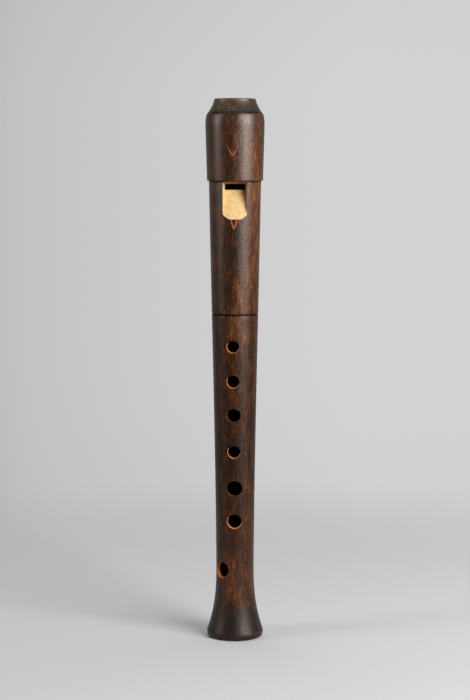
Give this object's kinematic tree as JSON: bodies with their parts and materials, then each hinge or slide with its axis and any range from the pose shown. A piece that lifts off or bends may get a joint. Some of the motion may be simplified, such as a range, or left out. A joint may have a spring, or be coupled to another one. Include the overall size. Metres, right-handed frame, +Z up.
{
  "type": "sopranino recorder",
  "caption": "Small turned wood recorder: a head joint with beak, windway and window pulls off a cork-lapped tenon; the body joint has finger holes and a flared foot.",
  "frame": {"origin": "on the bore's axis, at the flat base of the foot", "axes": "+Z up the bore towards the mouth end; -Y is the front, which holds the window and the finger holes; +Y is the back, with the thumb hole and the beak"},
  "size_m": [0.027, 0.0266, 0.248],
  "materials": {
    "stained_maple": "dark brown stain, rubbed to a satin oil finish; bare pale maple on the window's ramp",
    "cedar": "bare, planed",
    "cork": "bare natural cork, lightly greased"
  },
  "bodies": {
    "body": {"body_joint": "stained_maple"},
    "cork": {"tenon_cork": "cork"},
    "head": {"head_joint": "stained_maple"},
    "block": {"fipple_block": "cedar"}
  },
  "joints": [
    {"name": "head_turn", "type": "hinge", "parent": "body", "child": "cork", "pos_m": [0, 0, 0.1505], "axis": [0, 0, 1], "continuous": true},
    {"name": "head_pull", "type": "slide", "parent": "cork", "child": "head", "axis": [0, 0, 1], "range_m": [0, 0.024]},
    {"name": "block_push", "type": "slide", "parent": "head", "child": "block", "axis": [0, 0, 1], "range_m": [0, 0.04]}
  ]
}
